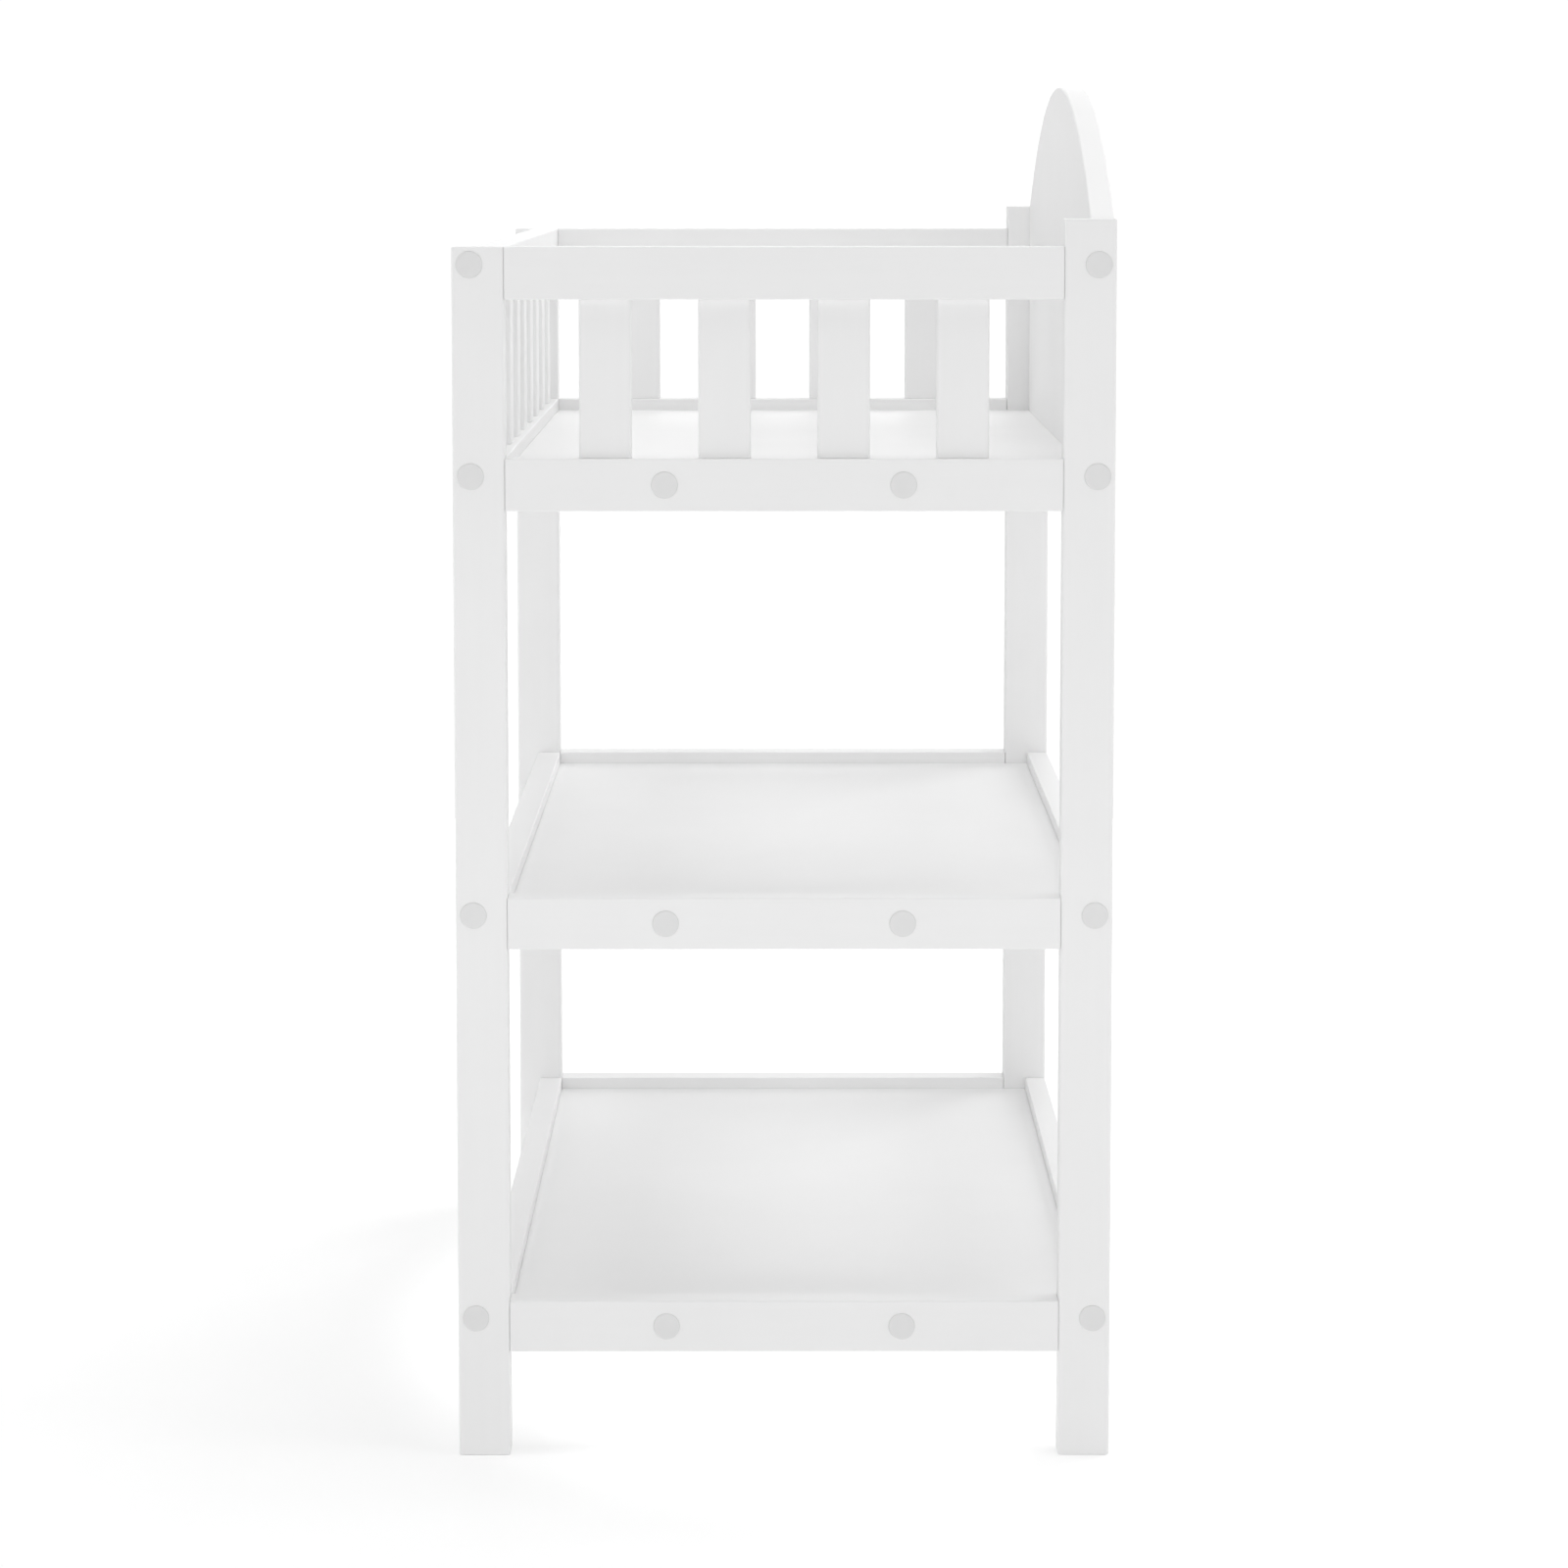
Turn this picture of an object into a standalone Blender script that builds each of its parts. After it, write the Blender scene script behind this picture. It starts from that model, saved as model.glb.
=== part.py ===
"""Changing table: two slatted end frames, front rails with slats, an arched back panel and three boards.

What is glued or screwed into a piece in the factory is one solid with it: dowels, cam bolts, and the cams
with their cover caps in the posts. The boards' bolts and the back panel's fittings are pieces of their own.
"""

import math

import bmesh
import bpy
from mathutils import Matrix, Vector

MM = 0.001

# Driving dimensions, in metres.
LENGTH = 880 * MM
DEPTH = 480 * MM
STOCK = 38 * MM
END_THICK = 25 * MM
FRONT_POST_HEIGHT = 890 * MM
BACK_POST_HEIGHT = 910 * MM
PANEL_THICK = 18 * MM
ARCH_RISE = 100 * MM
ARCH_STEPS = 24
BOARD_THICK = 18 * MM
BOARD_DROP = 10 * MM
LEVEL_TOPS = {"top": 890 * MM, "changing": 737 * MM, "middle": 416 * MM, "bottom": 116 * MM}
SLATTED_LEVELS = ("top", "changing")
BOARD_LEVELS = ("changing", "middle", "bottom")
BACK_RAIL_LEVELS = ("middle", "bottom")
UPPER_FRONT_THICK = 22 * MM
LOWER_FRONT_THICK = 20 * MM
BACK_RAIL_THICK = 18 * MM

SLAT_THICK = 12 * MM
EDGE_ROUND = 2 * MM
SIDE_SLATS = 4
SIDE_SLAT_PITCH = 86.3 * MM
FRONT_SLATS = 8
FRONT_SLAT_PITCH = 99 * MM
TENON_WIDTH = 28 * MM
TENON_THICK = 8 * MM
TENON_LENGTH = 10 * MM

# Touching pieces stay this far apart, and a cutter runs this far past the face that it opens.
GAP = 0.3 * MM
OVERRUN = 2 * MM

# Round cover caps.
CAP_WIDTH = 19.4 * MM
CAP_RECESS = 1 * MM
CAP_PROUD = 0.8 * MM
CAP_EDGE = 0.5 * MM

# Joints of the side rails with the posts.
CAM_INSET = 13 * MM
CAM_DROP = 13 * MM
CAM_BOLT_SHANK = 5.4 * MM
CAM_BOLT_HEAD = 7 * MM
CAM_BOLT_HEAD_LENGTH = 3 * MM
DOWEL_WIDTH = 8 * MM
DOWEL_REACH = 15 * MM
DOWEL_DROP = 28 * MM

# Joints of the long rails and the back panel with the posts.
LONG_BOLT_DROP = 20.5 * MM
LONG_PIN_DROP = 8 * MM
LONG_PIN_WIDTH = 6 * MM
LONG_GRIP = 7.5 * MM
PANEL_CAM_HEIGHTS = (750 * MM, 860 * MM)
PANEL_PIN_HEIGHTS = (715 * MM, 805 * MM)
PANEL_CAM_INSET = 24 * MM
PANEL_CAM_WIDTH = 14.4 * MM
PANEL_CAM_DEPTH = 12 * MM
PANEL_CAM_SLOT = 8.2 * MM

# Bolts and dowels of the boards.
BOARD_BOLT_SPREAD = 86.6 * MM
BOARD_BOLT_WIDTH = 7 * MM
BOARD_BOLT_HEAD = 13 * MM
BOARD_BOLT_HEAD_LENGTH = 4 * MM
BOARD_BOLT_REACH = 25 * MM
BOARD_DOWEL_SPREAD = 198 * MM
BOARD_DOWEL_REACH = 10 * MM

CAP_SIDES = 18
CAM_SIDES = 12
BOLT_SIDES = 10

# Worked out from the dimensions above.
END_X = LENGTH / 2
INNER_X = END_X - END_THICK
MID_X = END_X - END_THICK / 2
OUTER_Y = DEPTH / 2
INNER_Y = OUTER_Y - STOCK
PANEL_Y = OUTER_Y - PANEL_THICK
PANEL_MID_Y = OUTER_Y - PANEL_THICK / 2
SLAT_FOOT = LEVEL_TOPS["changing"]
SLAT_HEAD = LEVEL_TOPS["top"] - STOCK
ENDS = {"right": 1, "left": -1}
SIDES = {"front": -1, "back": 1}

WHITE = (0.83, 0.83, 0.83, 1)
CAP_GREY = (0.71, 0.71, 0.71, 1)
ZINC = (0.55, 0.56, 0.58, 1)

AXIS_TURNS = {
    "X": Matrix.Rotation(math.pi / 2, 4, "Y"),
    "Y": Matrix.Rotation(-math.pi / 2, 4, "X"),
    "Z": Matrix.Identity(4),
}


def clear_scene():
    for old in list(bpy.data.objects):
        bpy.data.objects.remove(old, do_unlink=True)


def make_collection(name):
    made = bpy.data.collections.new(name)
    bpy.context.scene.collection.children.link(made)
    return made


def finish(part, colour, roughness, metallic=0.0):
    """Gives a part a material of its own."""
    made = bpy.data.materials.new(part.name + "_finish")
    made.use_nodes = True
    shader = made.node_tree.nodes["Principled BSDF"]
    shader.inputs["Base Color"].default_value = colour
    shader.inputs["Roughness"].default_value = roughness
    shader.inputs["Metallic"].default_value = metallic
    part.data.materials.clear()
    part.data.materials.append(made)


def paint(part):
    finish(part, WHITE, 0.35)


def add_box(name, low, high):
    """A painted box between two corners, with its origin at its centre."""
    low, high = Vector(low), Vector(high)
    bpy.ops.mesh.primitive_cube_add(size=1, location=(low + high) / 2)
    made = bpy.context.object
    made.name = name
    made.data.name = name
    made.scale = high - low
    bpy.ops.object.transform_apply(location=False, rotation=False, scale=True)
    for old in list(made.users_collection):
        old.objects.unlink(made)
    parts.objects.link(made)
    paint(made)
    return made


def round_upright_edges(part, width):
    """A one-step bevel along the edges that stand upright."""
    mesh = bmesh.new()
    mesh.from_mesh(part.data)
    upright = [e for e in mesh.edges if abs((e.verts[1].co - e.verts[0].co).normalized().z) > 0.99]
    bmesh.ops.bevel(mesh, geom=upright, offset=width, segments=1, affect="EDGES", profile=0.5)
    mesh.to_mesh(part.data)
    mesh.free()


def add_shapes(name, shapes):
    """One hidden object from a list of functions that each add a closed shape to its mesh."""
    mesh = bmesh.new()
    for shape in shapes:
        shape(mesh)
    data = bpy.data.meshes.new(name)
    mesh.to_mesh(data)
    mesh.free()
    made = bpy.data.objects.new(name, data)
    made.hide_render = True
    made.display_type = "WIRE"
    cutters.objects.link(made)
    return made


def combine(part, name, shapes, operation):
    modifier = part.modifiers.new(name, "BOOLEAN")
    modifier.operation = operation
    modifier.solver = "EXACT"
    modifier.object = add_shapes(f"{part.name}_{name}", shapes)


def cut(part, name, shapes):
    """Takes the shapes out of the part. Shapes in one call stay clear of each other."""
    combine(part, name, shapes, "DIFFERENCE")


def fix(part, name, shapes):
    """Joins the shapes to the part. Shapes in one call stay clear of each other."""
    combine(part, name, shapes, "UNION")


def straight(start, end):
    """The length of a way along one axis, and the matrix that lays a shape along it."""
    start, end = Vector(start), Vector(end)
    way = end - start
    axis = "XYZ"[max(range(3), key=lambda i: abs(way[i]))]
    return way.length, Matrix.Translation((start + end) / 2) @ AXIS_TURNS[axis]


def rod(start, end, width, sides=BOLT_SIDES):
    """A round shape from start to end, which differ along one axis only."""
    length, place = straight(start, end)

    def add(mesh):
        radius = width / 2
        bmesh.ops.create_cone(
            mesh, cap_ends=True, segments=sides, radius1=radius, radius2=radius, depth=length, matrix=place
        )

    return add


def capped_rod(start, end, width):
    """A rod whose far rim, at the end, is eased like that of a cover cap."""
    length, place = straight(start, end)
    end = Vector(end)

    def add(mesh):
        radius = width / 2
        sides = CAP_SIDES
        made = bmesh.ops.create_cone(
            mesh, cap_ends=True, segments=sides, radius1=radius, radius2=radius, depth=length, matrix=place
        )
        rings = {face for vert in made["verts"] for face in vert.link_faces if len(face.verts) == sides}
        outer = min(rings, key=lambda face: (face.calc_center_median() - end).length)
        rim = list(outer.edges)
        bmesh.ops.bevel(mesh, geom=rim, offset=CAP_EDGE, segments=1, affect="EDGES", profile=0.5)

    return add


def pocket(low, high):
    """A square-cornered shape between two corners."""
    low, high = Vector(low), Vector(high)
    place = Matrix.Translation((low + high) / 2) @ Matrix.Diagonal((*(high - low), 1))

    def add(mesh):
        bmesh.ops.create_cube(mesh, size=1, matrix=place)

    return add


def add_turned(name, profile, sides, place):
    """A closed turned piece along +X, from (distance, radius) points that start and end on the axis."""
    outline = bmesh.new()
    points = [outline.verts.new((distance, 0, radius)) for distance, radius in profile]
    for one, other in zip(points, points[1:]):
        outline.edges.new((one, other))
    data = bpy.data.meshes.new(name)
    outline.to_mesh(data)
    outline.free()
    made = bpy.data.objects.new(name, data)
    parts.objects.link(made)
    made.matrix_world = place
    spin = made.modifiers.new("spin", "SCREW")
    spin.axis = "X"
    spin.steps = sides
    spin.render_steps = sides
    spin.use_normal_flip = True
    spin.use_merge_vertices = True
    spin.merge_threshold = 0.0001
    return made


def facing(point, direction):
    """Places a shape that runs along +X so that it starts at point and runs along direction."""
    turn = Vector(direction).to_track_quat("X", "Z").to_matrix().to_4x4()
    return Matrix.Translation(point) @ turn


def hole(width):
    """The width of a hole that holds a rod of this width."""
    return width + 2 * GAP


def front_rail_thickness(level):
    return UPPER_FRONT_THICK if level in SLATTED_LEVELS else LOWER_FRONT_THICK


def long_rail_lines(side):
    """The long rails on one side, as the place of their middle line along the depth and their top."""
    if side == SIDES["front"]:
        return [(-INNER_Y - front_rail_thickness(level) / 2, top) for level, top in LEVEL_TOPS.items()]
    return [(OUTER_Y - BACK_RAIL_THICK / 2, LEVEL_TOPS[level]) for level in BACK_RAIL_LEVELS]


def make_post(end_name, side_name):
    end, side = ENDS[end_name], SIDES[side_name]
    height = FRONT_POST_HEIGHT if side_name == "front" else BACK_POST_HEIGHT
    xs = sorted((end * INNER_X, end * END_X))
    ys = sorted((side * INNER_Y, side * OUTER_Y))
    post = add_box(f"post_{side_name}_{end_name}", (xs[0], ys[0], 0), (xs[1], ys[1], height))
    round_upright_edges(post, EDGE_ROUND)
    cam_y = side * (OUTER_Y - CAM_INSET)
    mouth_y = side * (INNER_Y - OVERRUN)
    channel_y = cam_y + side * GAP
    dowel_y = side * (INNER_Y + DOWEL_REACH + GAP)
    x = end * MID_X
    cap_start, cap_end = end * (END_X - CAP_RECESS), end * (END_X + CAP_PROUD)
    caps, channels, dowels = [], [], []
    for top in LEVEL_TOPS.values():
        cam_z = top - CAM_DROP
        dowel_z = top - DOWEL_DROP
        caps.append(capped_rod((cap_start, cam_y, cam_z), (cap_end, cam_y, cam_z), CAP_WIDTH))
        channels.append(rod((x, mouth_y, cam_z), (x, channel_y, cam_z), hole(CAM_BOLT_HEAD)))
        dowels.append(rod((x, mouth_y, dowel_z), (x, dowel_y, dowel_z), hole(DOWEL_WIDTH)))
    fix(post, "caps", caps)
    cut(post, "bolt_channels", channels)
    cut(post, "dowel_holes", dowels)
    cut(post, "long_holes", long_holes(end, side))


def long_holes(end, side):
    """The holes in a post's inner face for the long rails' and the back panel's bolts and pins."""
    bolts = [(y, top - LONG_BOLT_DROP) for y, top in long_rail_lines(side)]
    pins = [(y, top - LONG_PIN_DROP) for y, top in long_rail_lines(side)]
    if side == SIDES["back"]:
        bolts += [(PANEL_MID_Y, z) for z in PANEL_CAM_HEIGHTS]
        pins += [(PANEL_MID_Y, z) for z in PANEL_PIN_HEIGHTS]
    mouth = end * (INNER_X - OVERRUN)
    floor = end * (INNER_X + LONG_GRIP + GAP)
    made = [rod((mouth, y, z), (floor, y, z), hole(CAM_BOLT_SHANK)) for y, z in bolts]
    made += [rod((mouth, y, z), (floor, y, z), hole(LONG_PIN_WIDTH)) for y, z in pins]
    return made


def slat_places(count, pitch):
    return [(number - (count - 1) / 2) * pitch for number in range(count)]


def mortises(level, centres, width_x, width_y):
    """Mortises for tenons of this size, in the underside of a top rail or the top side of a changing rail."""
    if level == "top":
        low, high = SLAT_HEAD - OVERRUN, SLAT_HEAD + TENON_LENGTH + GAP
    else:
        low, high = SLAT_FOOT - TENON_LENGTH - GAP, SLAT_FOOT + OVERRUN
    half_x, half_y = hole(width_x) / 2, hole(width_y) / 2
    return [pocket((x - half_x, y - half_y, low), (x + half_x, y + half_y, high)) for x, y in centres]


def make_side_rail(end_name, level):
    """A side rail with its glued dowels and its cam bolts, which reach into the posts."""
    end, top = ENDS[end_name], LEVEL_TOPS[level]
    xs = sorted((end * INNER_X, end * END_X))
    reach = INNER_Y - GAP
    rail = add_box(f"side_rail_{level}_{end_name}", (xs[0], -reach, top - STOCK), (xs[1], reach, top))
    x = end * MID_X
    bolt_z = top - CAM_DROP
    dowel_z = top - DOWEL_DROP
    pegs, heads = [], []
    for side in SIDES.values():
        inside = side * (INNER_Y - DOWEL_REACH)
        bolt_end = side * (OUTER_Y - CAM_INSET)
        neck = bolt_end - side * CAM_BOLT_HEAD_LENGTH
        root = neck - side * GAP
        dowel_end = side * (INNER_Y + DOWEL_REACH)
        pegs.append(rod((x, inside, bolt_z), (x, neck, bolt_z), CAM_BOLT_SHANK))
        pegs.append(rod((x, inside, dowel_z), (x, dowel_end, dowel_z), DOWEL_WIDTH))
        heads.append(rod((x, root, bolt_z), (x, bolt_end, bolt_z), CAM_BOLT_HEAD))
    fix(rail, "pegs", pegs)
    fix(rail, "bolt_heads", heads)
    if level in BOARD_LEVELS:
        cut_board_bolt_holes(rail, end, top - STOCK / 2)
    if level in SLATTED_LEVELS:
        centres = [(x, y) for y in slat_places(SIDE_SLATS, SIDE_SLAT_PITCH)]
        cut(rail, "mortises", mortises(level, centres, TENON_THICK, TENON_WIDTH))


def cut_board_bolt_holes(rail, end, z):
    """Stepped holes for the board bolts: cap recess, head and shank."""
    seat = end * (END_X - CAP_RECESS - BOARD_BOLT_HEAD_LENGTH - GAP)
    recess = end * (END_X - CAP_RECESS)
    outside = end * (END_X + OVERRUN)
    inside = end * (INNER_X - OVERRUN)
    steps = (
        ("bolt_holes", inside, BOARD_BOLT_WIDTH),
        ("head_holes", seat, BOARD_BOLT_HEAD),
        ("cap_recesses", recess, CAP_WIDTH),
    )
    for name, start, width in steps:
        ways = [((start, y, z), (outside, y, z)) for y in board_bolt_places()]
        cut(rail, name, [rod(*way, hole(width), CAP_SIDES) for way in ways])


def board_bolt_places():
    return (-BOARD_BOLT_SPREAD, BOARD_BOLT_SPREAD)


def make_board_bolt(end_name, side_name, level):
    """A bolt through a side rail into a board's end, with its push-on cover cap."""
    end, y = ENDS[end_name], SIDES[side_name] * BOARD_BOLT_SPREAD
    tip = INNER_X - BOARD_BOLT_REACH
    cap_back = END_X - CAP_RECESS + GAP - tip
    neck = cap_back - BOARD_BOLT_HEAD_LENGTH
    cap_front = END_X + CAP_PROUD - tip
    shank, head, cap = BOARD_BOLT_WIDTH / 2, BOARD_BOLT_HEAD / 2, CAP_WIDTH / 2
    profile = [
        (0, 0),
        (0, shank),
        (neck, shank),
        (neck, head),
        (cap_back, head),
        (cap_back, cap),
        (cap_front - CAP_EDGE, cap),
        (cap_front, cap - CAP_EDGE),
        (cap_front, 0),
    ]
    place = facing((end * tip, y, LEVEL_TOPS[level] - STOCK / 2), (end, 0, 0))
    bolt = add_turned(f"board_bolt_{level}_{side_name}_{end_name}", profile, CAP_SIDES, place)
    finish(bolt, CAP_GREY, 0.4)


def make_slat(name, centre, width_x, width_y, tenon_x, tenon_y):
    """A slat with rounded long edges and a stub tenon on each end."""
    x, y = centre
    low = (x - width_x / 2, y - width_y / 2, SLAT_FOOT + GAP)
    high = (x + width_x / 2, y + width_y / 2, SLAT_HEAD - GAP)
    slat = add_box(name, low, high)
    round_upright_edges(slat, EDGE_ROUND)
    low = (x - tenon_x / 2, y - tenon_y / 2, SLAT_FOOT - TENON_LENGTH)
    high = (x + tenon_x / 2, y + tenon_y / 2, SLAT_HEAD + TENON_LENGTH)
    fix(slat, "tenons", [pocket(low, high)])


def make_side_slats():
    for end_name, end in ENDS.items():
        for number, y in enumerate(slat_places(SIDE_SLATS, SIDE_SLAT_PITCH), 1):
            name = f"side_slat_{number}_{end_name}"
            make_slat(name, (end * MID_X, y), SLAT_THICK, STOCK, TENON_THICK, TENON_WIDTH)


def make_front_slats():
    y = -INNER_Y - UPPER_FRONT_THICK / 2
    for number, x in enumerate(slat_places(FRONT_SLATS, FRONT_SLAT_PITCH), 1):
        make_slat(f"front_slat_{number}", (x, y), STOCK, SLAT_THICK, TENON_WIDTH, TENON_THICK)


def fix_long_pegs(rail, y, top):
    """Joins to a long rail its bolts and pins, which reach into the posts."""
    pegs = []
    for end in ENDS.values():
        inside, outside = end * (INNER_X - DOWEL_REACH), end * (INNER_X + LONG_GRIP)
        for width, z in ((CAM_BOLT_SHANK, top - LONG_BOLT_DROP), (LONG_PIN_WIDTH, top - LONG_PIN_DROP)):
            pegs.append(rod((inside, y, z), (outside, y, z), width))
    fix(rail, "pegs", pegs)


def board_dowel_holes(face_y, way, level):
    """Holes for the board dowels in a long member's inner face. They run along way."""
    z = LEVEL_TOPS[level] - STOCK / 2
    mouth = face_y - way * OVERRUN
    floor = face_y + way * (BOARD_DOWEL_REACH + GAP)
    return [rod((x, mouth, z), (x, floor, z), hole(DOWEL_WIDTH)) for x in board_dowel_places()]


def board_dowel_places():
    return (-BOARD_DOWEL_SPREAD, BOARD_DOWEL_SPREAD)


def make_front_rail(level):
    top = LEVEL_TOPS[level]
    thick = front_rail_thickness(level)
    reach = INNER_X - GAP
    y = -INNER_Y - thick / 2
    rail = add_box(f"front_rail_{level}", (-reach, -INNER_Y - thick, top - STOCK), (reach, -INNER_Y, top))
    fix_long_pegs(rail, y, top)
    if level in BOARD_LEVELS:
        cut(rail, "board_dowels", board_dowel_holes(-INNER_Y, -1, level))
    if level in SLATTED_LEVELS:
        centres = [(x, y) for x in slat_places(FRONT_SLATS, FRONT_SLAT_PITCH)]
        cut(rail, "mortises", mortises(level, centres, TENON_WIDTH, TENON_THICK))


def make_back_rail(level):
    top = LEVEL_TOPS[level]
    reach = INNER_X - GAP
    low_y = OUTER_Y - BACK_RAIL_THICK
    rail = add_box(f"back_rail_{level}", (-reach, low_y, top - STOCK), (reach, OUTER_Y, top))
    fix_long_pegs(rail, OUTER_Y - BACK_RAIL_THICK / 2, top)
    cut(rail, "board_dowels", board_dowel_holes(low_y, 1, level))


def arch_points():
    """The arch from its right spring to its left one, on one circular arc."""
    half = INNER_X - GAP
    radius = (half**2 + ARCH_RISE**2) / (2 * ARCH_RISE)
    centre = BACK_POST_HEIGHT + ARCH_RISE - radius
    spread = math.asin(half / radius)
    angles = [spread * (1 - 2 * step / ARCH_STEPS) for step in range(ARCH_STEPS + 1)]
    return [(radius * math.sin(angle), centre + radius * math.cos(angle)) for angle in angles]


def mesh_from_curve(flat):
    """Replaces a curve object with a mesh object of the same shape, with its caps welded on."""
    bpy.context.view_layer.update()
    shape = flat.evaluated_get(bpy.context.evaluated_depsgraph_get())
    data = bpy.data.meshes.new_from_object(shape)
    mesh = bmesh.new()
    mesh.from_mesh(data)
    bmesh.ops.remove_doubles(mesh, verts=mesh.verts, dist=0.0001)
    bmesh.ops.recalc_face_normals(mesh, faces=mesh.faces)
    mesh.to_mesh(data)
    mesh.free()
    name, place = flat.name, flat.matrix_world.copy()
    bpy.data.objects.remove(flat, do_unlink=True)
    made = bpy.data.objects.new(name, data)
    made.matrix_world = place
    parts.objects.link(made)
    return made


def make_back_panel():
    """A flat outline with an arched top, extruded to the panel's thickness."""
    half = INNER_X - GAP
    foot = LEVEL_TOPS["changing"] - STOCK
    outline = [(-half, foot), (half, foot)] + arch_points()
    curve = bpy.data.curves.new("back_panel", "CURVE")
    curve.dimensions = "2D"
    curve.fill_mode = "BOTH"
    curve.extrude = PANEL_THICK / 2
    spline = curve.splines.new("POLY")
    spline.points.add(len(outline) - 1)
    for point, (x, z) in zip(spline.points, outline):
        point.co = (x, z, 0, 1)
    spline.use_cyclic_u = True
    flat = bpy.data.objects.new("back_panel", curve)
    flat.location = (0, PANEL_MID_Y, 0)
    flat.rotation_euler = (math.pi / 2, 0, 0)
    parts.objects.link(flat)
    panel = mesh_from_curve(flat)
    paint(panel)
    cut_panel_joints(panel)


def cut_panel_joints(panel):
    """The panel's glued pins, and the holes for its cams, its bolts and the changing board's dowels."""
    pins, bolts, housings = [], [], []
    y = PANEL_MID_Y
    housing_y = OUTER_Y - PANEL_CAM_DEPTH - 2 * GAP
    for end in ENDS.values():
        mouth, cam_x = end * (INNER_X + OVERRUN), end * (INNER_X - PANEL_CAM_INSET)
        inside, outside = end * (INNER_X - DOWEL_REACH), end * (INNER_X + LONG_GRIP)
        pins += [rod((inside, y, z), (outside, y, z), LONG_PIN_WIDTH) for z in PANEL_PIN_HEIGHTS]
        for z in PANEL_CAM_HEIGHTS:
            bolts.append(rod((cam_x, y, z), (mouth, y, z), hole(CAM_BOLT_HEAD)))
            start, stop = (cam_x, housing_y, z), (cam_x, OUTER_Y + OVERRUN, z)
            housings.append(rod(start, stop, hole(PANEL_CAM_WIDTH), CAM_SIDES))
    fix(panel, "pins", pins)
    cut(panel, "bolt_holes", bolts)
    cut(panel, "cam_housings", housings)
    cut(panel, "board_dowels", board_dowel_holes(PANEL_Y, 1, "changing"))


def make_panel_fittings(end_name, height_name, z):
    """A cam in the back panel's rear face and the bolt that it pulls, which is screwed into the post."""
    end = ENDS[end_name]
    cam_x, y = end * (INNER_X - PANEL_CAM_INSET), PANEL_MID_Y
    back = OUTER_Y - GAP
    width = PANEL_CAM_WIDTH
    radius = width / 2
    profile = [(0, 0), (0, radius), (PANEL_CAM_DEPTH, radius), (PANEL_CAM_DEPTH, 0)]
    place = facing((cam_x, back - PANEL_CAM_DEPTH, z), (0, 1, 0))
    cam = add_turned(f"panel_cam_{height_name}_{end_name}", profile, CAM_SIDES, place)
    slot = PANEL_CAM_SLOT / 2
    xs = sorted((cam_x - end * slot, cam_x + end * width))
    cut(cam, "slot", [pocket((xs[0], y - slot, z - slot), (xs[1], y + slot, z + slot))])
    finish(cam, ZINC, 0.4, 1.0)
    length = LONG_GRIP + PANEL_CAM_INSET
    neck = length - CAM_BOLT_HEAD_LENGTH
    shank, head = CAM_BOLT_SHANK / 2, CAM_BOLT_HEAD / 2
    profile = [(0, 0), (0, shank), (neck, shank), (neck, head), (length, head), (length, 0)]
    place = facing((end * (INNER_X + LONG_GRIP), y, z), (-end, 0, 0))
    bolt = add_turned(f"panel_bolt_{height_name}_{end_name}", profile, BOLT_SIDES, place)
    finish(bolt, ZINC, 0.35, 1.0)


def make_board(level):
    """A flat board between the end frames and the long members, with its glued dowels."""
    top = LEVEL_TOPS[level] - BOARD_DROP
    reach = INNER_X - GAP
    front_y, back_y = -INNER_Y + GAP, PANEL_Y - GAP
    board = add_box(f"board_{level}", (-reach, front_y, top - BOARD_THICK), (reach, back_y, top))
    z = LEVEL_TOPS[level] - STOCK / 2
    bolts, dowels = [], []
    for end in ENDS.values():
        mouth, floor = end * (INNER_X + OVERRUN), end * (INNER_X - BOARD_BOLT_REACH - GAP)
        bolts += [rod((floor, y, z), (mouth, y, z), hole(BOARD_BOLT_WIDTH)) for y in board_bolt_places()]
    for x in board_dowel_places():
        for face_y, way in ((-INNER_Y, 1), (PANEL_Y, -1)):
            inside, outside = face_y + way * DOWEL_REACH, face_y - way * BOARD_DOWEL_REACH
            dowels.append(rod((x, inside, z), (x, outside, z), DOWEL_WIDTH))
    fix(board, "dowels", dowels)
    cut(board, "bolt_holes", bolts)


clear_scene()
parts = make_collection("changing_table")
cutters = make_collection("cutters")
cutters.hide_render = True

for end_key in ENDS:
    for side_key in SIDES:
        make_post(end_key, side_key)
        for level_key in BOARD_LEVELS:
            make_board_bolt(end_key, side_key, level_key)
    for level_key in LEVEL_TOPS:
        make_side_rail(end_key, level_key)
    for height_key, cam_height in zip(("lower", "upper"), PANEL_CAM_HEIGHTS):
        make_panel_fittings(end_key, height_key, cam_height)
for level_key in LEVEL_TOPS:
    make_front_rail(level_key)
for level_key in BACK_RAIL_LEVELS:
    make_back_rail(level_key)
for level_key in BOARD_LEVELS:
    make_board(level_key)
make_side_slats()
make_front_slats()
make_back_panel()
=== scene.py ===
import math

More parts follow.
